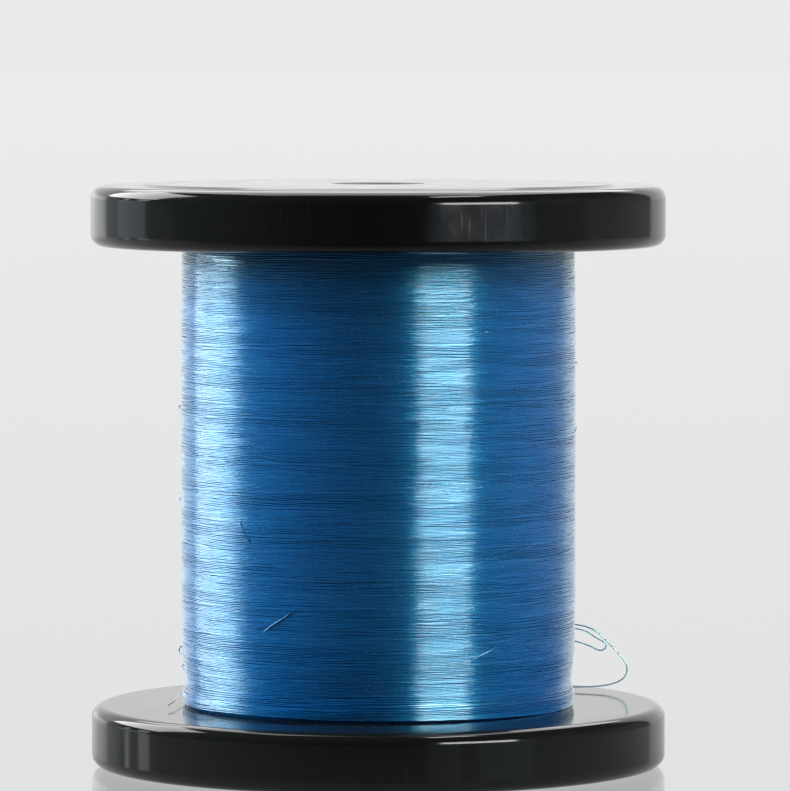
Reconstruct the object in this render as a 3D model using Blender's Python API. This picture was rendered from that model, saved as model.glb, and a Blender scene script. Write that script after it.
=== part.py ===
"""A type 125 machine spool filled with monofilament fishing line, standing on its lower flange.

Metres, +Z up along the spindle bore. The origin is the centre of the lower face.
"""

import math

import bmesh
import bpy
from mathutils import Vector

MM = 0.001

# Spool body
FLANGE_RADIUS = 62.5 * MM
FLANGE_THICKNESS = 13.1 * MM
FLANGE_CORNER = 2.6 * MM
TRAVERSE = 100.0 * MM
PAD_RADIUS = 50.6 * MM
PAD_PROUD = 0.4 * MM
WEB_THICKNESS = 2.5 * MM
RIM_INNER_RADIUS = 58.3 * MM
COVER_RADIUS = 59.5 * MM
COVER_THICKNESS = 2.0 * MM
RIB_COUNT = 12
RIB_THICKNESS = 1.8 * MM

# Barrel and bore
BARREL_RADIUS = 22.5 * MM
BARREL_WALL = 3.0 * MM
SPIGOT_HEIGHT = 5.0 * MM
SPIGOT_WALL = 2.5 * MM
BOSS_WALL = 3.0 * MM
ARBOR_RADIUS = 10.0 * MM
BORE_RADIUS = 8.0 * MM
BORE_CHAMFER = 0.8 * MM

# Line
LINE_RADIUS = 0.15 * MM
PACK_RADIUS = 43.1 * MM
TAPE_THICKNESS = 0.2 * MM

GAP = 0.3 * MM
TOTAL_HEIGHT = 2 * PAD_PROUD + 2 * FLANGE_THICKNESS + TRAVERSE
LOWER_WEB_Z = PAD_PROUD + FLANGE_THICKNESS
UPPER_WEB_Z = LOWER_WEB_Z + TRAVERSE
ROUND = 64


def clear_scene():
    for obj in list(bpy.data.objects):
        bpy.data.objects.remove(obj, do_unlink=True)


def finish(name, colour, roughness, metallic=0.0, transmission=0.0):
    material = bpy.data.materials.new(name)
    material.use_nodes = True
    shader = material.node_tree.nodes["Principled BSDF"]
    shader.inputs["Base Color"].default_value = (*colour, 1.0)
    shader.inputs["Roughness"].default_value = roughness
    shader.inputs["Metallic"].default_value = metallic
    shader.inputs["Transmission Weight"].default_value = transmission
    return material


def new_object(name, data, material):
    obj = bpy.data.objects.new(name, data)
    bpy.context.scene.collection.objects.link(obj)
    obj.data.materials.append(material)
    return obj


def turned(name, profile, material, segments=ROUND):
    """A closed (radius, height) outline turned about Z.

    The outline runs down the piece's outer side first, then back up its inner side.
    """
    mesh = bpy.data.meshes.new(name)
    points = [(radius, 0.0, height) for radius, height in profile]
    edges = [(i, (i + 1) % len(points)) for i in range(len(points))]
    mesh.from_pydata(points, edges, [])
    obj = new_object(name, mesh, material)
    turn = obj.modifiers.new("Turn", "SCREW")
    turn.angle = 2 * math.pi
    turn.steps = segments
    turn.render_steps = segments
    turn.use_merge_vertices = True
    turn.merge_threshold = 1e-5
    turn.use_smooth_shade = True
    return obj


def corner_arc(centre_radius, centre_height, radius, start, stop, steps=4):
    """Points on a rounded corner, from angle start to angle stop, in degrees."""
    for i in range(steps + 1):
        angle = math.radians(start + (stop - start) * i / steps)
        yield (centre_radius + radius * math.cos(angle), centre_height + radius * math.sin(angle))


def boxes(name, count, inner, outer, width, low, high):
    """Radial bars, evenly spaced, as one helper for a Boolean."""
    mesh = bpy.data.meshes.new(name)
    bm = bmesh.new()
    for i in range(count):
        angle = 2 * math.pi * (i + 0.5) / count
        along = Vector((math.cos(angle), math.sin(angle), 0.0))
        across = Vector((-along.y, along.x, 0.0))
        made = bmesh.ops.create_cube(bm, size=1.0)
        for vertex in made["verts"]:
            x = inner + (vertex.co.x + 0.5) * (outer - inner)
            y = vertex.co.y * width
            z = low + (vertex.co.z + 0.5) * (high - low)
            vertex.co = along * x + across * y + Vector((0.0, 0.0, z))
    bm.to_mesh(mesh)
    bm.free()
    helper = bpy.data.objects.new(name, mesh)
    bpy.context.scene.collection.objects.link(helper)
    helper.hide_render = True
    helper.display_type = "WIRE"
    return helper


def boolean(obj, other, operation):
    cut = obj.modifiers.new(operation.title(), "BOOLEAN")
    cut.operation = operation
    cut.solver = "EXACT"
    cut.object = other


def turn_over(obj):
    """Places a piece that was made for the lower end at the upper end."""
    obj.rotation_euler = (math.pi, 0.0, 0.0)
    obj.location = (0.0, 0.0, TOTAL_HEIGHT)


def make_flange(name, material):
    """A dish: flat web towards the line, rounded rim, hub boss, barrel spigot and radial ribs.

    It is drawn for the lower end, with its open side down.
    """
    bottom = PAD_PROUD
    ledge = bottom + COVER_THICKNESS + GAP
    web_back = LOWER_WEB_Z - WEB_THICKNESS
    top_corner = LOWER_WEB_Z - FLANGE_CORNER
    low_corner = bottom + FLANGE_CORNER
    side = FLANGE_RADIUS - FLANGE_CORNER
    spigot = BARREL_RADIUS - BARREL_WALL - GAP
    hole = ARBOR_RADIUS + GAP
    outline = [(spigot, LOWER_WEB_Z)]
    outline += corner_arc(side, top_corner, FLANGE_CORNER, 90, 0)
    outline += corner_arc(side, low_corner, FLANGE_CORNER, 0, -90)
    outline += [
        (COVER_RADIUS + GAP, bottom),
        (COVER_RADIUS + GAP, ledge),
        (RIM_INNER_RADIUS, ledge),
        (RIM_INNER_RADIUS, web_back),
        (hole + BOSS_WALL, web_back),
        (hole + BOSS_WALL, ledge),
        (hole, ledge),
        (hole, LOWER_WEB_Z),
        (spigot - SPIGOT_WALL, LOWER_WEB_Z),
        (spigot - SPIGOT_WALL, LOWER_WEB_Z + SPIGOT_HEIGHT),
        (spigot, LOWER_WEB_Z + SPIGOT_HEIGHT),
    ]
    flange = turned(name, outline, material)
    overlap = 0.5 * MM
    ribs = boxes(
        name + "_ribs",
        RIB_COUNT,
        hole + BOSS_WALL - overlap,
        RIM_INNER_RADIUS + overlap,
        RIB_THICKNESS,
        ledge + GAP,
        web_back + overlap,
    )
    boolean(flange, ribs, "UNION")
    return flange, ribs


def make_end_cover(name, material):
    """The disc that closes a flange's dish, with the raised pad that the spool stands on."""
    edge = 0.25 * MM
    inside = PAD_PROUD + COVER_THICKNESS
    hole = ARBOR_RADIUS + GAP
    outline = [
        (COVER_RADIUS, inside),
        (COVER_RADIUS, PAD_PROUD),
        (PAD_RADIUS, PAD_PROUD),
        (PAD_RADIUS - edge, 0.0),
        (hole + edge, 0.0),
        (hole, edge),
        (hole, inside),
    ]
    return turned(name, outline, material)


def make_arbor_tube(material):
    end = GAP
    top = TOTAL_HEIGHT - GAP
    edge = 0.3 * MM
    outline = [
        (ARBOR_RADIUS - edge, top),
        (ARBOR_RADIUS, top - edge),
        (ARBOR_RADIUS, end + edge),
        (ARBOR_RADIUS - edge, end),
        (BORE_RADIUS + BORE_CHAMFER, end),
        (BORE_RADIUS, end + BORE_CHAMFER),
        (BORE_RADIUS, top - BORE_CHAMFER),
        (BORE_RADIUS + BORE_CHAMFER, top),
    ]
    return turned("arbor_tube", outline, material, 32)


def make_barrel(material):
    low = LOWER_WEB_Z + GAP
    high = UPPER_WEB_Z - GAP
    inner = BARREL_RADIUS - BARREL_WALL
    outline = [(BARREL_RADIUS, high), (BARREL_RADIUS, low), (inner, low), (inner, high)]
    return turned("barrel_tube", outline, material, 48)


def make_start_tape(material):
    """A curved patch of tape on the barrel that holds the line's inner end."""
    inner = BARREL_RADIUS + GAP
    outer = inner + TAPE_THICKNESS
    low = LOWER_WEB_Z + 12 * MM
    high = low + 18 * MM
    half_angle = math.radians(22)
    steps = 8
    mesh = bpy.data.meshes.new("start_tape")
    bm = bmesh.new()
    strips = []
    for i in range(steps + 1):
        angle = -half_angle + 2 * half_angle * i / steps
        across = Vector((math.cos(angle), math.sin(angle), 0.0))
        corners = [(inner, low), (outer, low), (outer, high), (inner, high)]
        strips.append([bm.verts.new(across * r + Vector((0.0, 0.0, z))) for r, z in corners])
    for near, far in zip(strips, strips[1:]):
        for i in range(4):
            k = (i + 1) % 4
            bm.faces.new((near[i], near[k], far[k], far[i]))
    bm.faces.new(strips[0][::-1])
    bm.faces.new(strips[-1])
    bmesh.ops.recalc_face_normals(bm, faces=bm.faces)
    bm.to_mesh(mesh)
    bm.free()
    return new_object("start_tape", mesh, material)


def make_line_pack(material):
    """The wound line as one ring. Its surface dips near the lower flange, where turns are slack."""
    low = LOWER_WEB_Z + GAP
    high = UPPER_WEB_Z - GAP
    inner = BARREL_RADIUS + GAP + TAPE_THICKNESS + GAP
    outline = [
        (PACK_RADIUS - 0.3 * MM, high),
        (PACK_RADIUS - 0.1 * MM, high - 6 * MM),
        (PACK_RADIUS, high - 14 * MM),
        (PACK_RADIUS, low + 24 * MM),
        (PACK_RADIUS - 0.3 * MM, low + 11 * MM),
        (PACK_RADIUS - 1.0 * MM, low + 5 * MM),
        (PACK_RADIUS - 0.2 * MM, low + 2 * MM),
        (PACK_RADIUS - 0.6 * MM, low),
        (inner, low),
        (inner, high),
    ]
    return turned("line_pack", outline, material)


def smooth_route(stations, per_span):
    """Catmull-Rom points through (angle in degrees, radius in mm, height in mm) stations."""
    ends = [[2 * a - b for a, b in zip(stations[0], stations[1])]]
    tail = [[2 * a - b for a, b in zip(stations[-1], stations[-2])]]
    keys = [Vector(key) for key in ends + [list(s) for s in stations] + tail]
    route = []
    for before, start, stop, after in zip(keys, keys[1:], keys[2:], keys[3:]):
        for i in range(per_span):
            t = i / per_span
            slope_in = (stop - before) / 2
            slope_out = (after - start) / 2
            blend = 3 * t**2 - 2 * t**3
            point = start.lerp(stop, blend)
            point += slope_in * (t**3 - 2 * t**2 + t) + slope_out * (t**3 - t**2)
            route.append(point)
    route.append(keys[-2])
    return [
        Vector((r * math.cos(math.radians(a)), r * math.sin(math.radians(a)), z)) * MM
        for a, r, z in route
    ]


def make_line(name, stations, per_span, material):
    """A stretch of loose line as a thin round tube along its route."""
    curve = bpy.data.curves.new(name, "CURVE")
    curve.dimensions = "3D"
    curve.bevel_depth = LINE_RADIUS
    curve.bevel_resolution = 2
    curve.use_fill_caps = True
    route = smooth_route(stations, per_span)
    spline = curve.splines.new("POLY")
    spline.points.add(len(route) - 1)
    for point, place in zip(spline.points, route):
        point.co = (*place, 1.0)
    return new_object(name, curve, material)


# The radius, in millimetres, at which loose line lies on the pack.
ON_PACK = (PACK_RADIUS + LINE_RADIUS + GAP) / MM + 0.05

# The free end comes round the back, springs out in a loop that stands on the lower flange near
# its rim, and goes back round the pack to its cut end.
FREE_END = [
    (168, ON_PACK, 29.6),
    (140, ON_PACK, 29.2),
    (112, ON_PACK, 28.8),
    (88, ON_PACK + 0.1, 28.5),
    (68, 45.2, 28.4),
    (50, 48.6, 28.4),
    (37, 52.2, 28.2),
    (31.5, 54.4, 27.7),
    (29.5, 56.6, 26.1),
    (28.3, 59.2, 23.2),
    (27.2, 61.4, 20.4),
    (26.8, 62.0, 18.2),
    (27.3, 61.0, 16.0),
    (29.0, 57.8, 14.7),
    (32.5, 52.6, 14.3),
    (41, 48.4, 14.2),
    (55, 45.4, 14.2),
    (73, ON_PACK + 0.2, 14.2),
    (98, ON_PACK, 14.4),
    (127, ON_PACK, 14.9),
    (156, ON_PACK, 15.3),
    (178, ON_PACK + 0.2, 15.1),
    (189, 44.9, 14.8),
    (196, 47.2, 14.5),
]

# A slack turn beside it springs out in a smaller loop, a little further back.
SLACK_LOOP = [
    (152, ON_PACK, 27.0),
    (126, ON_PACK, 27.1),
    (102, ON_PACK + 0.1, 27.2),
    (80, 44.6, 27.3),
    (60, 47.4, 27.4),
    (45, 50.2, 27.5),
    (36, 52.6, 27.3),
    (33, 54.8, 26.7),
    (31.4, 56.8, 25.2),
    (30.5, 58.1, 24.3),
    (30.2, 58.6, 23.7),
    (30.3, 58.6, 22.9),
    (30.7, 58.0, 22.4),
    (31.2, 57.3, 22.4),
    (31.8, 56.4, 22.9),
    (32.8, 55.1, 23.6),
    (35.5, 52.4, 24.5),
    (46, 48.4, 25.0),
    (62, 45.4, 25.2),
    (82, ON_PACK + 0.1, 25.2),
    (106, ON_PACK, 25.0),
    (134, ON_PACK, 24.8),
]


def main():
    clear_scene()
    black = finish("black_moulding", (0.012, 0.012, 0.013), 0.16)
    cover_black = finish("black_cover", (0.014, 0.014, 0.015), 0.2)
    tube_black = finish("black_tube", (0.02, 0.02, 0.02), 0.4)
    blue = finish("blue_line", (0.03, 0.32, 0.55), 0.2, transmission=0.3)
    paper = finish("tape", (0.78, 0.72, 0.55), 0.6)

    for name in ("lower_flange", "upper_flange"):
        flange, ribs = make_flange(name, black)
        if name == "upper_flange":
            turn_over(flange)
            turn_over(ribs)
    make_end_cover("lower_end_cover", cover_black)
    turn_over(make_end_cover("upper_end_cover", cover_black))
    make_arbor_tube(tube_black)
    make_barrel(tube_black)
    make_start_tape(paper)
    make_line_pack(blue)
    make_line("line_free_end", FREE_END, 3, blue)
    make_line("line_slack_loop", SLACK_LOOP, 3, blue)


main()
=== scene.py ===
"""The looks of a black plastic spool wound with blue monofilament line.

Shapes are worked out in millimetres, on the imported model's frame, and become metres in the meshes.
"""

import math

import bmesh
import bpy
import numpy as np
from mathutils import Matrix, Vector


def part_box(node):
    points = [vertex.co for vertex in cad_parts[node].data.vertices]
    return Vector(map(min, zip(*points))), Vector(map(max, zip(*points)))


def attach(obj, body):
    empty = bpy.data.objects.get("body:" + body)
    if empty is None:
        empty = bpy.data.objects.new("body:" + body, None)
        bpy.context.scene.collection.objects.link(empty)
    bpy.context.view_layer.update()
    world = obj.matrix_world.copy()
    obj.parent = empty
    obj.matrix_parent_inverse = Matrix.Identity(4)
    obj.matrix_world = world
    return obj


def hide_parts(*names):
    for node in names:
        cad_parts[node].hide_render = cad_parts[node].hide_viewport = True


MM = 0.001
SHARP_ANGLE = math.radians(40)
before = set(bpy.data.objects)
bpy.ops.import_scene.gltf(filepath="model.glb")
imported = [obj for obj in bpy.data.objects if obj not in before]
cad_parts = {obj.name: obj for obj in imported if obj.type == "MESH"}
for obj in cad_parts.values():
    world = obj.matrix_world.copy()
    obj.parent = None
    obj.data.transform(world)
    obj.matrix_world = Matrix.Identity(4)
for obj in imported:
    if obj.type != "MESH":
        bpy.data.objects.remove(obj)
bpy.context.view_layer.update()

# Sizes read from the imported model, in millimetres.
PACK_LOW, PACK_HIGH = (corner[2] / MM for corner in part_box("line_pack"))
PACK_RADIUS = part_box("line_pack")[1][0] / MM
FLANGE_LOW, FLANGE_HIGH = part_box("lower_flange")
RIM_RADIUS = FLANGE_HIGH[0] / MM
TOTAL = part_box("upper_end_cover")[1][2] / MM
RING_PLANE = FLANGE_LOW[2] / MM
COVER_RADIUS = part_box("lower_end_cover")[1][0] / MM

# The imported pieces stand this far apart, and the scene's turns of line fill most of the gap.
PIECE_GAP = 0.3
WEB_FACE = PACK_LOW - PIECE_GAP
TURN_CLEARANCE = 0.03
LOWEST_TURN = WEB_FACE + TURN_CLEARANCE
HIGHEST_TURN = PACK_HIGH + PIECE_GAP - TURN_CLEARANCE

# Other driving sizes, in millimetres.
SEAM = 0.1
BORE_RADIUS = 8.0
ARBOR_RADIUS = 10.0
HUB_INNER, HUB_OUTER = 10.3, 13.3
SPIGOT_INNER, SPIGOT_OUTER, SPIGOT_DEPTH = 16.7, 19.2, 5.0
PAD_RADIUS, PAD_FOOT = 50.5, 51.9
COVER_THICKNESS = 2.0
WEB_THICKNESS = 2.5
RIB_THICKNESS = 1.8
CRISP = 0.05
BARREL_INNER, BARREL_OUTER = 19.5, 22.5
RIM_FILLET = 2.6
RIM_INNER = 58.3
RIBS = 12
LINE_RADIUS = 0.15
KINK = 0.016


# ---------------------------------------------------------------- meshes


def link(name, data):
    obj = bpy.data.objects.new(name, data)
    bpy.context.scene.collection.objects.link(obj)
    return obj


def mesh_of(name, points, quads):
    """A mesh from arrays: points in millimetres, and four corners for each face."""
    mesh = bpy.data.meshes.new(name)
    mesh.vertices.add(len(points))
    mesh.vertices.foreach_set("co", (np.asarray(points, np.float32) * MM).ravel())
    mesh.loops.add(4 * len(quads))
    mesh.loops.foreach_set("vertex_index", np.asarray(quads, np.int32).ravel())
    mesh.polygons.add(len(quads))
    mesh.polygons.foreach_set("loop_start", np.arange(0, 4 * len(quads), 4, dtype=np.int32))
    mesh.update(calc_edges=True)
    mesh.validate()
    mesh.shade_smooth()
    return mesh


def rounded(corners, steps=5):
    """A closed outline of (radius, height, fillet) corners, with each fillet drawn as an arc."""
    outline = []
    count = len(corners)
    for i, (r, z, fillet) in enumerate(corners):
        here = np.array([r, z], float)
        if not fillet:
            outline.append(here)
            continue
        back = np.array(corners[i - 1][:2], float) - here
        ahead = np.array(corners[(i + 1) % count][:2], float) - here
        back /= np.linalg.norm(back)
        ahead /= np.linalg.norm(ahead)
        half = math.acos(np.clip(back @ ahead, -1, 1)) / 2
        reach = fillet / math.tan(half)
        middle = (back + ahead) / np.linalg.norm(back + ahead)
        centre = here + middle * fillet / math.sin(half)
        first = here + back * reach - centre
        last = here + ahead * reach - centre
        turn = math.atan2(first[0] * last[1] - first[1] * last[0], first @ last)
        for k in range(steps + 1):
            a = turn * k / steps
            c, s = math.cos(a), math.sin(a)
            outline.append(centre + np.array([c * first[0] - s * first[1], s * first[0] + c * first[1]]))
    return np.array(outline)


def braced(outline, reach=0.15):
    """The same outline with a point near each end of its long runs, which keeps their shading flat."""
    points = []
    for here, ahead in zip(outline, np.roll(outline, -1, axis=0)):
        points.append(here)
        length = np.linalg.norm(ahead - here)
        if length > 4 * reach:
            points.append(here + (ahead - here) * reach / length)
            points.append(ahead - (ahead - here) * reach / length)
    return np.array(points)


def lathe(outline, segments, ripple=None):
    """Points and faces of a closed outline turned about Z. ripple(angle, r) is added to the radius."""
    angle = np.linspace(0, 2 * np.pi, segments, endpoint=False)[:, None]
    r = np.broadcast_to(outline[:, 0], (segments, len(outline)))
    z = np.broadcast_to(outline[:, 1], (segments, len(outline)))
    if ripple:
        r = r + ripple(angle, r)
    points = np.stack([r * np.cos(angle), r * np.sin(angle), z], axis=-1).reshape(-1, 3)
    return points, grid_faces(segments, len(outline), True)


def grid_faces(rows, columns, closed_rows):
    """Faces between neighbouring rings: rows along the length, columns round it."""
    a = np.arange(rows if closed_rows else rows - 1)[:, None]
    b = np.arange(columns)[None, :]
    nexta, nextb = (a + 1) % rows, (b + 1) % columns
    faces = [a * columns + b, a * columns + nextb, nexta * columns + nextb, nexta * columns + b]
    return np.stack(np.broadcast_arrays(*faces), axis=-1).reshape(-1, 4)


def face_outwards(mesh):
    bm = bmesh.new()
    bm.from_mesh(mesh)
    bmesh.ops.recalc_face_normals(bm, faces=bm.faces)
    bm.to_mesh(mesh)
    bm.free()


def turned(name, corners, segments, steps=5, ripple=None):
    """A turned piece with smooth faces and crisp edges."""
    points, faces = lathe(braced(rounded(corners, steps)), segments, ripple)
    obj = link(name, mesh_of(name, points, faces))
    face_outwards(obj.data)
    obj.data.set_sharp_from_angle(angle=SHARP_ANGLE)
    return obj


def turn_over(obj):
    """Turns a piece over, from the lower end of the spool to the upper."""
    points = np.empty(len(obj.data.vertices) * 3, np.float32)
    obj.data.vertices.foreach_get("co", points)
    points = points.reshape(-1, 3) * (1, -1, -1) + (0, 0, TOTAL * MM)
    obj.data.vertices.foreach_set("co", points.astype(np.float32).ravel())
    obj.data.update()


def join_ribs(obj, angles, inner, outer, width, low, high):
    """Adds bevelled ribs that run outwards at the given angles, a little thinner at their free edge."""
    thinned, bevel = 0.12, 0.25
    bm = bmesh.new()
    for angle in angles:
        made = bmesh.ops.create_cube(bm, size=1.0)["verts"]
        along = Vector((math.cos(angle), math.sin(angle), 0))
        across = Vector((-along.y, along.x, 0))
        for v in made:
            x = inner + (v.co.x + 0.5) * (outer - inner)
            y = v.co.y * width * (1 - thinned * (v.co.z < 0))
            z = low + (v.co.z + 0.5) * (high - low)
            v.co = (along * x + across * y + Vector((0, 0, z))) * MM
    bmesh.ops.recalc_face_normals(bm, faces=bm.faces)
    bmesh.ops.bevel(bm, geom=bm.edges[:], offset=bevel * MM, segments=2, affect="EDGES")
    bm.from_mesh(obj.data)
    bm.to_mesh(obj.data)
    bm.free()
    obj.data.shade_smooth()
    obj.data.set_sharp_from_angle(angle=SHARP_ANGLE)


# ---------------------------------------------------------------- materials


class Graph:
    """Adds and links the shader nodes of one material or world."""

    def __init__(self, owner):
        owner.use_nodes = True
        self.tree = owner.node_tree

    def feed(self, socket, value):
        """Links another node's output to a socket, or sets the socket's own value."""
        if hasattr(value, "links"):
            self.tree.links.new(value, socket)
        else:
            socket.default_value = value

    def node(self, kind, inputs=(), **properties):
        made = self.tree.nodes.new("ShaderNode" + kind)
        for key, value in properties.items():
            setattr(made, key, value)
        for key, value in dict(inputs).items():
            self.feed(made.inputs[key], value)
        return made

    def add(self, kind, inputs=(), **properties):
        """A new node's first output."""
        return self.node(kind, inputs, **properties).outputs[0]

    def math(self, operation, *values):
        return self.add("Math", dict(enumerate(values)), operation=operation)


class Plastic(Graph):
    """A material made of noise in object space that feeds one Principled shader."""

    def __init__(self, name):
        self.material = bpy.data.materials.new(name)
        super().__init__(self.material)
        self.shader = self.tree.nodes["Principled BSDF"]
        self.place = self.node("TexCoord").outputs["Object"]

    def set(self, **values):
        for key, value in values.items():
            self.feed(self.shader.inputs[key.replace("_", " ")], value)

    def noise(self, scale, detail=3.0, rough=0.5, turn=0.0):
        """Noise with about scale lumps in each millimetre, turned about Z by an angle in radians."""
        per_metre = tuple(lumps / MM for lumps in scale)
        mapping = {"Vector": self.place, "Rotation": (0.0, 0.0, turn), "Scale": per_metre}
        inputs = {"Vector": self.add("Mapping", mapping), "Scale": 1.0, "Detail": detail, "Roughness": rough}
        return self.node("TexNoise", inputs).outputs["Fac"]

    def band(self, value, low, high, out_low=0.0, out_high=1.0):
        """Maps low to out_low and high to out_high, and stays between those two."""
        ends = {"From Min": low, "From Max": high, "To Min": out_low, "To Max": out_high}
        return self.add("MapRange", {"Value": value, **ends})

    def mix(self, share, a, b):
        return self.add("MixRGB", {"Fac": share, "Color1": (*a, 1), "Color2": (*b, 1)})

    def bump(self, height, distance, strength=1.0, normal=None):
        inputs = {"Height": height, "Distance": distance, "Strength": strength}
        if normal is not None:
            inputs["Normal"] = normal
        return self.add("Bump", inputs)

    def radius(self):
        """Distance from the spool's axis, in metres."""
        x, y, _ = self.node("SeparateXYZ", {"Vector": self.place}).outputs
        flat = self.add("CombineXYZ", {"X": x, "Y": y})
        return self.node("VectorMath", {0: flat}, operation="LENGTH").outputs["Value"]


def scratches(n, length, width, turn):
    """Thin straight marks of about that length and width in millimetres: peaks of stretched noise."""
    return n.band(n.noise((1 / length, 1 / width, 0.08), 1.0, 0.5, turn), 0.70, 0.76)


def moulded_black(name, colour, roughness, turned_marks=False):
    """Glossy black moulded plastic: faint sink, orange peel, hairline scratches and dust."""
    n = Plastic(name)
    waves = n.noise((0.06, 0.06, 0.06), 1.0)
    peel = n.noise((0.9, 0.9, 0.9), 2.0)
    dust = n.band(n.noise((2.6, 2.6, 2.6), 2.0, 0.7), 0.74, 0.80)
    handled = n.band(n.noise((0.16, 0.16, 0.16), 4.0, 0.6), 0.42, 0.68)
    hair = n.math("MAXIMUM", scratches(n, 9.0, 0.12, 0.4), scratches(n, 7.0, 0.1, 2.1))
    hair = n.math("MAXIMUM", hair, scratches(n, 12.0, 0.09, 1.2))
    rough = n.band(handled, 0.0, 1.0, roughness, roughness + 0.04)
    rough = n.math("ADD", rough, n.math("MULTIPLY", hair, 0.05))
    rough = n.math("ADD", rough, n.math("MULTIPLY", dust, 0.15))
    pale = tuple(2.0 * c for c in colour)
    tone = n.mix(n.math("MAXIMUM", dust, n.math("MULTIPLY", hair, 0.5)), colour, pale)
    normal = n.bump(waves, 0.00012, 0.10 if turned_marks else 0.35)
    normal = n.bump(peel, 0.000010, 0.25, normal)
    if turned_marks:
        outwards = n.add("CombineXYZ", {"X": n.radius()})
        rings = n.node("TexNoise", {"Vector": outwards, "Scale": 2600.0, "Detail": 2.0}).outputs["Fac"]
        normal = n.bump(rings, 0.000006, 0.25, normal)
    normal = n.bump(hair, 0.000004, -0.2, normal)
    n.set(Base_Color=tone, Roughness=rough, Normal=normal, IOR=1.59, Specular_IOR_Level=0.25)
    return n.material


def extruded_black(name):
    """Satin black tube with lengthwise draw lines."""
    n = Plastic(name)
    lines = n.noise((1.6, 1.6, 0.01), 3.0, 0.6)
    cloud = n.noise((0.2, 0.2, 0.05), 3.0)
    rough = n.band(cloud, 0.3, 0.7, 0.34, 0.5)
    tone = n.mix(lines, (0.014, 0.014, 0.015), (0.028, 0.028, 0.03))
    n.set(Base_Color=tone, Roughness=rough, Normal=n.bump(lines, 0.00003, 0.4), IOR=1.55)
    return n.material


def tape_paper():
    """Cream crepe tape, wrinkled across its length."""
    n = Plastic("crepe_tape")
    crepe = n.noise((0.3, 0.3, 2.4), 4.0, 0.65)
    fibre = n.noise((3.0, 3.0, 1.2), 3.0, 0.6)
    tone = n.mix(fibre, (0.70, 0.60, 0.40), (0.84, 0.76, 0.58))
    n.set(Base_Color=tone, Roughness=n.band(crepe, 0.2, 0.8, 0.5, 0.75))
    n.set(Normal=n.bump(crepe, 0.00008, 0.8))
    return n.material


def nylon(name, deep, clear, metallic, glossy, dull):
    """Blue nylon line. Streaks of clear, glossy turns lie between deeper and duller ones.

    The coat gives the white part of its shine, and the tinted gloss below it the blue part.
    """
    n = Plastic(name)
    streak = n.noise((0.08, 0.08, 2.4), 4.0, 0.65)
    cloud = n.noise((0.03, 0.03, 0.06), 2.0)
    grain = n.noise((1.4, 1.4, 3.0), 2.0, 0.6)
    mixed = n.math("ADD", n.math("MULTIPLY", streak, 0.8), n.math("MULTIPLY", cloud, 0.2))
    share = n.band(mixed, 0.32, 0.68)
    tone = n.mix(share, deep, clear)
    rough = n.math("ADD", n.band(share, 0.0, 1.0, dull, glossy), n.band(grain, 0.3, 0.7, -0.03, 0.05))
    nap = n.bump(n.noise((2.2, 2.2, 2.6), 2.0, 0.6), 0.00002)
    n.set(Base_Color=tone, Roughness=rough, Metallic=metallic, IOR=1.53, Normal=nap)
    n.set(Specular_IOR_Level=1.0, Specular_Tint=(0.12, 0.95, 0.75, 1.0))
    n.set(Coat_Weight=1.0, Coat_Roughness=0.08, Coat_IOR=1.53, Coat_Normal=nap)
    return n.material


BLACK = moulded_black("black_moulding", (0.0072, 0.0088, 0.0084), 0.08)
COVER_BLACK = moulded_black("black_cover", (0.0072, 0.0084, 0.0082), 0.09, True)
TUBE_BLACK = extruded_black("black_tube")
TAPE = tape_paper()
WOUND = nylon("wound_nylon", (0.002, 0.09, 0.32), (0.003, 0.14, 0.45), 0.2, 0.18, 0.28)
# The loose line's paler blue is partly real, since one thin strand holds less dye than the deep pack. It is
# also partly painted light: a lit copy of the nylon that stands in for the backdrop's light shining through
# it.
LOOSE_PAINTED_PALE = nylon("loose_nylon_painted_light", (0.20, 0.58, 0.74), (0.34, 0.70, 0.82), 0.0, 0.14, 0.18)


def clad(obj, material, node):
    """Gives a new piece its material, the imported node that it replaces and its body."""
    obj.data.materials.append(material)
    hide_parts(node)
    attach(obj, "root")
    return obj


# ---------------------------------------------------------------- the spool body


def sink(angle, r):
    """Shallow sinks in the rim's outer wall, over the ends of the ribs inside it."""
    wall = 3.2
    outer = np.clip((r - (RIM_RADIUS - wall)) / wall, 0, 1) ** 2
    over_rib = np.cos(RIBS / 2 * (angle - math.pi / RIBS)) ** 8
    uneven = 0.35 * np.sin(3 * angle + 0.8) + 0.25 * np.sin(7 * angle + 2.0)
    return -outer * (0.018 * over_rib + 0.008 * (1 + uneven))


def make_flange(name, over):
    """A ribbed dish with a rounded rim, open at the end that the cover closes."""
    ledge = RING_PLANE + COVER_THICKNESS + PIECE_GAP
    back = WEB_FACE - WEB_THICKNESS
    mouth = COVER_RADIUS + SEAM
    corners = [
        (SPIGOT_OUTER, WEB_FACE, 0.5),
        (RIM_RADIUS, WEB_FACE, RIM_FILLET),
        (RIM_RADIUS, RING_PLANE, RIM_FILLET),
        (mouth, RING_PLANE, CRISP),
        (mouth, ledge, 0.2),
        (RIM_INNER, ledge, 0.3),
        (RIM_INNER, back, 0.8),
        (HUB_OUTER, back, 0.8),
        (HUB_OUTER, ledge, 0.3),
        (HUB_INNER, ledge, 0.2),
        (HUB_INNER, WEB_FACE, 0.3),
        (SPIGOT_INNER, WEB_FACE, 0.4),
        (SPIGOT_INNER, WEB_FACE + SPIGOT_DEPTH, 0.4),
        (SPIGOT_OUTER, WEB_FACE + SPIGOT_DEPTH, 0.4),
    ]
    obj = turned(name + "_moulding", corners, 288, 9, sink)
    angles = [2 * math.pi * (i + 0.5) / RIBS for i in range(RIBS)]
    join_ribs(obj, angles, HUB_OUTER - 0.4, RIM_INNER + 0.5, RIB_THICKNESS, ledge + 0.3, back + 0.5)
    if over:
        turn_over(obj)
    return clad(obj, BLACK, name)


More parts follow.
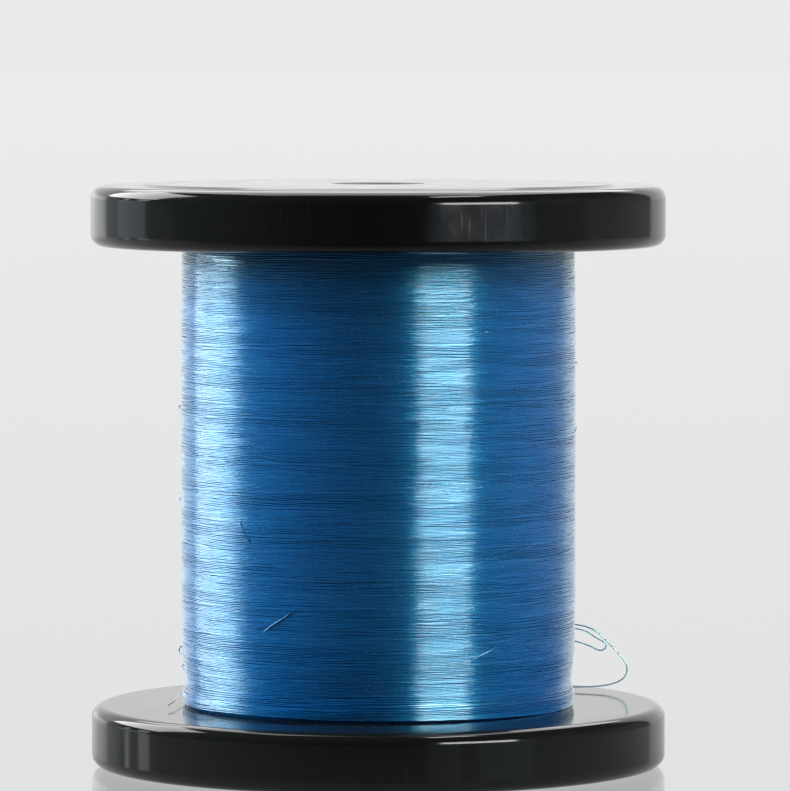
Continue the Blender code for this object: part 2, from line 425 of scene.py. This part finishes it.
def make_cover(name, over):
    """The end disc, with the raised pad whose sloping edge shows as a fine ring."""
    inner, back = ARBOR_RADIUS + SEAM, RING_PLANE + COVER_THICKNESS
    corners = [
        (COVER_RADIUS, back, 0.3),
        (COVER_RADIUS, RING_PLANE, CRISP),
        (PAD_FOOT, RING_PLANE, 0.5),
        (PAD_RADIUS, 0.0, 0.5),
        (inner, 0.0, CRISP),
        (inner, back, 0.3),
    ]
    obj = turned(name + "_disc", corners, 288)
    if over:
        turn_over(obj)
    return clad(obj, COVER_BLACK, name)


def make_tubes():
    """The arbor sleeve, whose bore is widened at its mouths, and the barrel that the line is wound on."""
    low, high, mouth = 0.03, TOTAL - 0.03, 1.7
    arbor = [
        (ARBOR_RADIUS, high, CRISP),
        (ARBOR_RADIUS, low, CRISP),
        (BORE_RADIUS, low, mouth),
        (BORE_RADIUS, high, mouth),
    ]
    sleeve = turned("arbor_sleeve", arbor, 128, 9)
    low, high = (corner[2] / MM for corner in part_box("barrel_tube"))
    ends = [(BARREL_OUTER, high), (BARREL_OUTER, low), (BARREL_INNER, low), (BARREL_INNER, high)]
    barrel = turned("winding_barrel", [(*end, 0.3) for end in ends], 160)
    return [
        clad(sleeve, TUBE_BLACK, "arbor_tube"),
        clad(barrel, TUBE_BLACK, "barrel_tube"),
    ]


def make_tape():
    """The patch of tape on the barrel, with the ragged ends of a torn strip."""
    low, high = (corner[2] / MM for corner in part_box("start_tape"))
    rng = np.random.default_rng(5)
    rows, columns, inset, reach = 60, 24, 0.05, 22
    spread = np.linspace(-1, 1, rows)[:, None]
    height = np.linspace(0, 1, columns)[None, :]
    tear = rng.uniform(-0.8, 0.0, columns)[None, :] * np.abs(spread) ** 12
    angle = np.radians(reach * spread + tear * np.sign(spread))
    z = np.broadcast_to(low + inset + (high - low - 2 * inset) * height, angle.shape)
    wrinkle = 0.012 * np.sin(height * 90 + 3 * spread)
    layers = []
    for lift in (0.45, 0.33):
        r = BARREL_OUTER + lift + wrinkle
        layers.append(np.stack([r * np.cos(angle), r * np.sin(angle), z], axis=-1))
    points = np.concatenate([layer.reshape(-1, 3) for layer in layers])
    index = np.arange(rows * columns).reshape(rows, columns)
    sheet = np.stack([index[:-1, :-1], index[1:, :-1], index[1:, 1:], index[:-1, 1:]], -1).reshape(-1, 4)
    under = sheet[:, ::-1] + rows * columns
    edge = np.concatenate([index[0], index[1:, -1], index[-1, -2::-1], index[-2:0:-1, 0]])
    ahead = np.roll(edge, -1)
    wall = np.stack([edge, ahead, ahead + rows * columns, edge + rows * columns], -1)
    obj = link("tape_patch", mesh_of("tape_patch", points, np.concatenate([sheet, under, wall])))
    face_outwards(obj.data)
    return clad(obj, TAPE, "start_tape")


# ---------------------------------------------------------------- the wound line


def pack_radius(z):
    """The pack's outer radius at a height, waisted near the lower flange where turns are slack."""
    from_low = z - PACK_LOW
    knots = np.array([0.0, 2.0, 5.0, 11.0, 24.0, 85.0, 93.0, PACK_HIGH - PACK_LOW])
    under = np.array([0.6, 0.2, 1.0, 0.3, 0.0, 0.0, 0.1, 0.3])
    return PACK_RADIUS - np.interp(from_low, knots, under)


class Ripple:
    """Smooth random waves over the pack's surface, closed round it."""

    def __init__(self, rng, modes, most_round, least_k, most_k):
        self.m = rng.integers(1, most_round + 1, modes)
        self.k = rng.uniform(least_k, most_k, modes) * rng.choice([-1, 1], modes)
        self.phase = rng.uniform(0, 2 * np.pi, modes)
        self.size = 1 / math.sqrt(modes / 2)

    def __call__(self, angle, z):
        total = np.zeros_like(angle)
        for m, k, phase in zip(self.m, self.k, self.phase):
            total += np.cos(m * angle + k * z + phase)
        return total * self.size


def tube(centres, radius, sides, offset):
    """A thin tube along points near the pack's surface, as (points, faces). Its faces count from offset."""
    flat = centres.copy()
    flat[:, 2] = 0
    out = flat / np.linalg.norm(flat, axis=1, keepdims=True)
    up = np.array([0.0, 0.0, 1.0])
    turn = 2 * np.pi * np.arange(sides) / sides
    ring = out[:, None, :] * np.cos(turn)[None, :, None] + up * np.sin(turn)[None, :, None]
    points = (centres[:, None, :] + radius * ring).reshape(-1, 3)
    return points, grid_faces(len(centres), sides, False) + offset


# The layers of turns, as (depth below the surface, pitch, hand, looseness). Each crosses the one below.
LAYERS = [(0.15, 0.36, 1, 0.30), (0.04, 0.345, -1, 0.38), (0.01, 3.1, 1, 0.5)]


def wind(layers, per_turn, sides, rng):
    """Helical layers of line with uneven pitch, as (points, faces, number of points).

    A loose layer's turns bunch up, wander and drift along the pack, lump up on each other, and sag
    in long waves near the lower flange.
    """
    clump = Ripple(rng, 30, 5, 0.3, 2.2)
    wander = Ripple(rng, 40, 16, 4.0, 22.0)
    drift = Ripple(rng, 24, 7, 0.1, 0.9)
    lump = Ripple(rng, 40, 20, 0.5, 9.0)
    points, faces, offset = [], [], 0
    lowest, highest = LOWEST_TURN + LINE_RADIUS, HIGHEST_TURN - LINE_RADIUS
    for depth, pitch, hand, loose in layers:
        turns = (highest - lowest) / pitch
        t = np.linspace(0, turns, int(turns * per_turn))
        angle = hand * 2 * np.pi * t + 2.1 * depth
        z = lowest + pitch * t
        slack = np.exp(-(z - PACK_LOW) / 7)
        z = z + loose * (0.16 * clump(angle, z) + 0.11 * wander(angle, z) + 0.14 * drift(angle, z))
        z = z + loose * slack * 1.1 * np.sin(angle - 2.6 + 0.4 * t)
        z = np.clip(z, lowest, highest)
        r = pack_radius(z) - LINE_RADIUS - depth + loose * 0.045 * lump(angle, z)
        r = np.minimum(r + rng.normal(0.0, KINK, len(r)), PACK_RADIUS - LINE_RADIUS)
        z = np.clip(z + rng.normal(0.0, KINK, len(z)), lowest, highest)
        centres = np.stack([r * np.cos(angle), r * np.sin(angle), z], axis=-1)
        made, quads = tube(centres, LINE_RADIUS, sides, offset)
        points.append(made)
        faces.append(quads)
        offset += len(made)
    return points, faces, offset


# Stray turns that lie across the rest, as (start angle, start height, stop angle, stop height,
# lift): degrees round the axis and millimetres.
STRAYS = [
    (234.0, 31.6, 247.5, 38.4, 0.25),
    (226.0, 56.4, 231.5, 50.4, 0.3),
    (297.0, 26.4, 313.0, 31.2, 0.12),
    (232.0, 22.0, 240.5, 19.4, 0.15),
    (246.0, 83.0, 262.0, 80.6, 0.05),
    (199.0, 70.0, 236.0, 66.8, 0.05),
    (300.0, 96.0, 331.0, 99.0, 0.05),
    (280.0, 61.0, 322.0, 66.0, 0.08),
    (206.0, 44.0, 262.0, 38.5, 0.05),
    (286.0, 45.0, 330.0, 52.0, 0.05),
    (40.0, 30.0, 86.0, 38.0, 0.2),
    (70.0, 84.0, 150.0, 78.0, 0.1),
    (20.0, 56.0, 78.0, 50.5, 0.1),
    (110.0, 50.0, 160.0, 57.5, 0.2),
    (340.0, 72.0, 375.0, 75.5, 0.1),
    (175.0, 78.4, 184.0, 78.1, 0.45),
    (174.0, 58.3, 183.5, 57.9, 0.35),
    (172.0, 25.6, 186.0, 24.6, 0.8),
    (173.0, 21.8, 185.0, 21.2, 0.5),
    (352.0, 88.0, 362.0, 88.2, 0.35),
    (118.0, 96.0, 131.0, 96.4, 1.1),
]


def stray_turns(sides, offset):
    """The strays, which come up through the surface and dive under it again."""
    dive = 0.35
    points, faces = [], []
    for start, start_z, stop, stop_z, lift in STRAYS:
        t = np.linspace(0, 1, 48)
        rise = np.sin(np.pi * t)
        angle = np.radians(start + (stop - start) * t)
        z = start_z + (stop_z - start_z) * t + 0.5 * lift * rise * np.sin(2.2 * np.pi * t)
        r = pack_radius(z) - LINE_RADIUS - dive + (dive + 0.07 + lift) * rise**0.6
        centres = np.stack([r * np.cos(angle), r * np.sin(angle), z], axis=-1)
        made, quads = tube(centres, 0.95 * LINE_RADIUS, sides, offset)
        points.append(made)
        faces.append(quads)
        offset += len(made)
    return points, faces, offset


def make_pack():
    """The turns that show, over a solid core that stands for the line buried below them."""
    sides, core_depth, core_inner = 6, 0.54, BARREL_OUTER + 0.8
    points, faces, offset = wind(LAYERS, 180, sides, np.random.default_rng(11))
    stray_points, stray_faces, offset = stray_turns(sides, offset)
    z = np.linspace(LOWEST_TURN, HIGHEST_TURN, 60)
    outer = np.stack([pack_radius(z) - core_depth, z], axis=-1)[::-1]
    core = np.concatenate([outer, [(core_inner, LOWEST_TURN), (core_inner, HIGHEST_TURN)]])
    core_points, core_faces = lathe(core, 180)
    all_points = np.concatenate([*points, *stray_points, core_points])
    quads = np.concatenate([*faces, *stray_faces, core_faces[:, ::-1] + offset])
    return clad(link("wound_line", mesh_of("wound_line", all_points, quads)), WOUND, "line_pack")


# ---------------------------------------------------------------- the loose line


def smooth_route(stations, per_span):
    """Catmull-Rom points through (angle in degrees, radius in mm, height in mm) stations."""
    first = [[2 * a - b for a, b in zip(stations[0], stations[1])]]
    last = [[2 * a - b for a, b in zip(stations[-1], stations[-2])]]
    keys = [Vector(key) for key in first + [list(s) for s in stations] + last]
    route = []
    for before, start, stop, after in zip(keys, keys[1:], keys[2:], keys[3:]):
        for i in range(per_span):
            t = i / per_span
            slope_in = (stop - before) / 2
            slope_out = (after - start) / 2
            point = start.lerp(stop, 3 * t**2 - 2 * t**3)
            point += slope_in * (t**3 - 2 * t**2 + t) + slope_out * (t**3 - t**2)
            route.append(point)
    route.append(keys[-2])
    return [
        Vector((r * math.cos(math.radians(a)), r * math.sin(math.radians(a)), z)) * MM
        for a, r, z in route
    ]


# Where the loose line goes, as (angle in degrees, radius, height) in millimetres. ON_PACK is the radius
# of a turn that lies against the pack.
ON_PACK = 43.6
FREE_END = [
    (168, ON_PACK, 29.6),
    (140, ON_PACK, 29.2),
    (112, ON_PACK, 28.8),
    (88, ON_PACK + 0.1, 28.5),
    (68, 45.2, 28.4),
    (50, 48.6, 28.4),
    (37, 52.2, 28.2),
    (31.5, 54.4, 27.7),
    (29.5, 56.6, 26.1),
    (28.3, 59.2, 23.2),
    (27.2, 61.4, 20.4),
    (26.8, 62.0, 18.2),
    (27.3, 61.0, 16.0),
    (29.0, 57.8, 14.7),
    (32.5, 52.6, 14.3),
    (41, 48.4, 14.2),
    (55, 45.4, 14.2),
    (73, ON_PACK + 0.2, 14.2),
    (98, ON_PACK, 14.4),
    (127, ON_PACK, 14.9),
    (156, ON_PACK, 15.3),
    (178, ON_PACK + 0.2, 15.1),
    (189, 44.9, 14.8),
    (196, 47.2, 14.5),
]
SLACK_LOOP = [
    (152, ON_PACK, 27.0),
    (126, ON_PACK, 27.1),
    (102, ON_PACK + 0.1, 27.2),
    (80, 44.6, 27.3),
    (60, 47.4, 27.4),
    (45, 50.2, 27.5),
    (36, 52.6, 27.3),
    (33, 54.8, 26.7),
    (31.4, 56.8, 25.2),
    (30.5, 58.1, 24.3),
    (30.2, 58.6, 23.7),
    (30.3, 58.6, 22.9),
    (30.7, 58.0, 22.4),
    (31.2, 57.3, 22.4),
    (31.8, 56.4, 22.9),
    (32.8, 55.1, 23.6),
    (35.5, 52.4, 24.5),
    (46, 48.4, 25.0),
    (62, 45.4, 25.2),
    (82, ON_PACK + 0.1, 25.2),
    (106, ON_PACK, 25.0),
    (134, ON_PACK, 24.8),
]


def make_loose(name, stations, node):
    """A loose stretch of line along its stations."""
    curve = bpy.data.curves.new(name, "CURVE")
    curve.dimensions = "3D"
    curve.bevel_depth = LINE_RADIUS * MM
    curve.bevel_resolution = 3
    curve.use_fill_caps = True
    route = smooth_route(stations, 14)
    spline = curve.splines.new("POLY")
    spline.points.add(len(route) - 1)
    for point, place in zip(spline.points, route):
        point.co = (*place, 1.0)
    obj = link(name, curve)
    clad(obj, LOOSE_PAINTED_PALE, node)
    return obj


# ---------------------------------------------------------------- studio


# The height that the softboxes are aimed at, in metres.
AIM_HEIGHT = 0.065


def look_at(obj, target):
    obj.rotation_mode = "QUATERNION"
    obj.rotation_quaternion = (target - obj.location).to_track_quat("-Z", "Y")


def make_camera():
    """A long lens a little above the spool's top face, tipped down to it."""
    distance, height, tip, pan = 1.420, 0.1582, 3.119, -0.146
    data = bpy.data.cameras.new("camera")
    data.lens = 297.2
    data.sensor_width = 36.0
    data.clip_start, data.clip_end = 0.05, 50.0
    camera = link("camera", data)
    camera.location = (0.0, -distance, height)
    camera.rotation_euler = (math.radians(90 - tip), 0.0, math.radians(pan))
    bpy.context.scene.camera = camera


def softbox(name, bearing, elevation, distance, size, power, pieces, fill=False):
    """An area light aimed at the spool, at a bearing to the right of the camera's side, in degrees.

    It lights only the given pieces, so the floor doesn't mirror it. A fill lights the surfaces
    and isn't mirrored in them. The others are only mirrored. Distance and size are in metres.
    """
    data = bpy.data.lights.new(name, "AREA")
    data.shape = "RECTANGLE"
    data.size, data.size_y = size
    data.energy = power
    obj = link(name, data)
    middle = Vector((0.0, 0.0, AIM_HEIGHT))
    b, e = math.radians(bearing), math.radians(elevation)
    along = Vector((math.sin(b) * math.cos(e), -math.cos(b) * math.cos(e), math.sin(e)))
    obj.location = middle + distance * along
    look_at(obj, middle)
    obj.visible_camera = False
    obj.visible_glossy = not fill
    obj.visible_diffuse = fill
    lit = bpy.data.collections.new(name + "_lights")
    for piece in pieces:
        lit.objects.link(piece)
    obj.light_linking.receiver_collection = lit


class Surroundings(Graph):
    """The nodes of the world or the floor, from none."""

    def __init__(self, owner):
        super().__init__(owner)
        self.tree.nodes.clear()

    def ramp(self, value, start, stop):
        """0 up to start and 1 from stop on."""
        return self.add("MapRange", {"Value": value, "From Min": start, "From Max": stop}, clamp=True)

    def product(self, *factors):
        result = factors[0]
        for factor in factors[1:]:
            result = self.math("MULTIPLY", result, factor)
        return result


# What the room holds apart from the softboxes. Each patch lies between two bearings, in radians
# clockwise from the backdrop's middle, and between two heights, as sines of the elevation.
PATCHES = [
    # from, to, low, high, edge, colour, radiance
    (-0.69, 0.69, -2.0, 0.55, 0.03, (1.0, 1.0, 1.0), 0.975),
    (-0.69, -0.24, -0.12, 0.12, 0.03, (1.0, 1.0, 1.0), 0.60),
    (0.72, 2.70, -2.0, 0.35, 0.10, (1.0, 1.0, 1.0), 0.18),
    (-0.92, -0.70, -2.0, 0.30, 0.02, (0.85, 0.93, 1.1), 0.45),
    (-1.29, -0.92, -0.05, 0.05, 0.01, (0.85, 0.93, 1.1), 1.10),
    (-1.32, -1.19, 0.06, 0.17, 0.01, (1.0, 1.0, 1.0), 3.0),
    (-1.06, -1.01, 0.06, 0.17, 0.01, (1.0, 1.0, 0.95), 3.0),
    (2.02, 2.44, -0.06, 0.14, 0.02, (0.65, 0.80, 1.1), 0.50),
    (2.57, 2.80, -0.06, 0.14, 0.02, (0.65, 0.80, 1.1), 0.40),
]


def make_world():
    """A pale studio to the eye, and to the gloss a bright backdrop behind, in a dim room."""
    world = bpy.data.worlds.new("studio")
    bpy.context.scene.world = world
    n = Surroundings(world)
    x, y, z = n.node("SeparateXYZ", {"Vector": n.add("TexCoord")}).outputs
    bearing = n.math("ARCTAN2", x, y)
    room = n.add("Background", {"Strength": n.math("MULTIPLY_ADD", n.ramp(z, 0.2, 1.0), 0.04, 0.05)})
    for start, stop, low, high, edge, colour, radiance in PATCHES:
        mask = n.product(
            n.ramp(bearing, start - edge, start + edge),
            n.ramp(bearing, stop + edge, stop - edge),
            n.ramp(z, low - edge, low + edge),
            n.ramp(z, high + edge, high - edge),
            radiance,
        )
        patch = n.add("Background", {"Color": (*colour, 1), "Strength": mask})
        room = n.add("AddShader", {0: room, 1: patch})
    seen = n.add("Background", {"Color": (0.811, 0.826, 0.819, 1), "Strength": 1.0})
    is_camera_ray = n.add("LightPath")
    both = n.add("MixShader", {0: is_camera_ray, 1: room, 2: seen})
    n.node("OutputWorld", {"Surface": both})


def make_floor():
    """Pale acrylic that mirrors the spool. To the gloss, its front half has painted shade: its glow is
    dimmed towards the front.
    """
    mesh = bpy.data.meshes.new("floor")
    reach = 60.0
    corners = [(-reach, -reach, 0), (reach, -reach, 0), (reach, reach, 0), (-reach, reach, 0)]
    mesh.from_pydata(corners, [], [(0, 1, 2, 3)])
    floor = link("floor", mesh)
    material = bpy.data.materials.new("pale_acrylic")
    mesh.materials.append(material)
    n = Surroundings(material)
    _, y, _ = n.node("SeparateXYZ", {"Vector": n.node("TexCoord").outputs["Object"]}).outputs
    # Painted shade: rays other than the camera's see the glow fade over the front half of the floor.
    lit = n.math("MULTIPLY_ADD", n.ramp(y, -0.24, 0.10), 0.93, 0.07)
    is_camera_ray = n.add("LightPath")
    strength = n.math("MULTIPLY", n.math("MAXIMUM", lit, is_camera_ray), 0.695)
    glow = n.add("Emission", {"Color": (0.991, 1.0, 0.996, 1), "Strength": strength})
    paint = n.add("BsdfDiffuse", {"Color": (0.10, 0.10, 0.10, 1)})
    mirror = n.add("BsdfGlossy", {"Color": (0.82, 0.83, 0.825, 1), "Roughness": 0.03})
    body = n.add("AddShader", {0: glow, 1: paint})
    both = n.add("MixShader", {0: n.add("Fresnel", {"IOR": 1.18}), 1: body, 2: mirror})
    n.node("OutputMaterial", {"Surface": both})


def make_studio(inner, flanges, line):
    """Softboxes whose mirror images are the bands on the line and the glints on the rims.

    The inner pieces are the covers, the tubes and the tape.
    """
    all_pieces = inner + flanges + line
    make_world()
    make_floor()
    softbox("left_softbox", -113.0, 16.0, 1.1, (0.80, 0.60), 11.2, line)
    softbox("inner_softbox", -101.0, 16.0, 1.12, (0.47, 0.60), 4.4, line)
    softbox("right_softbox", 39.4, 18.0, 1.1, (0.59, 0.33), 26.5, line)
    softbox("left_window", -118.0, 30.0, 1.1, (0.78, 0.62), 12.0, flanges)
    softbox("right_window", 40.0, 9.0, 1.1, (0.60, 0.22), 7.0, flanges)
    softbox("right_strip", 52.0, 65.0, 1.1, (0.30, 0.08), 1.6, flanges)
    softbox("top_softbox", 180.0, 62.0, 1.05, (1.1, 1.3), 19.0, flanges)
    softbox("cover_softbox", 180.0, 62.0, 1.06, (1.1, 1.3), 9.0, inner)
    softbox("left_fill", -90.0, 22.0, 1.2, (0.6, 0.6), 27.0, all_pieces, True)
    softbox("right_fill", 80.0, 22.0, 1.2, (0.6, 0.6), 16.0, all_pieces, True)


bpy.context.scene.view_settings.view_transform = "Standard"
make_camera()
loose_lines = [
    make_loose("loose_end", FREE_END, "line_free_end"),
    make_loose("slack_loop", SLACK_LOOP, "line_slack_loop"),
]
ends = (("lower", False), ("upper", True))
both_flanges = [make_flange(end + "_flange", over) for end, over in ends]
inner_pieces = [*make_tubes(), make_tape()]
inner_pieces += [make_cover(end + "_end_cover", over) for end, over in ends]
make_studio(inner_pieces, both_flanges, [make_pack(), *loose_lines])
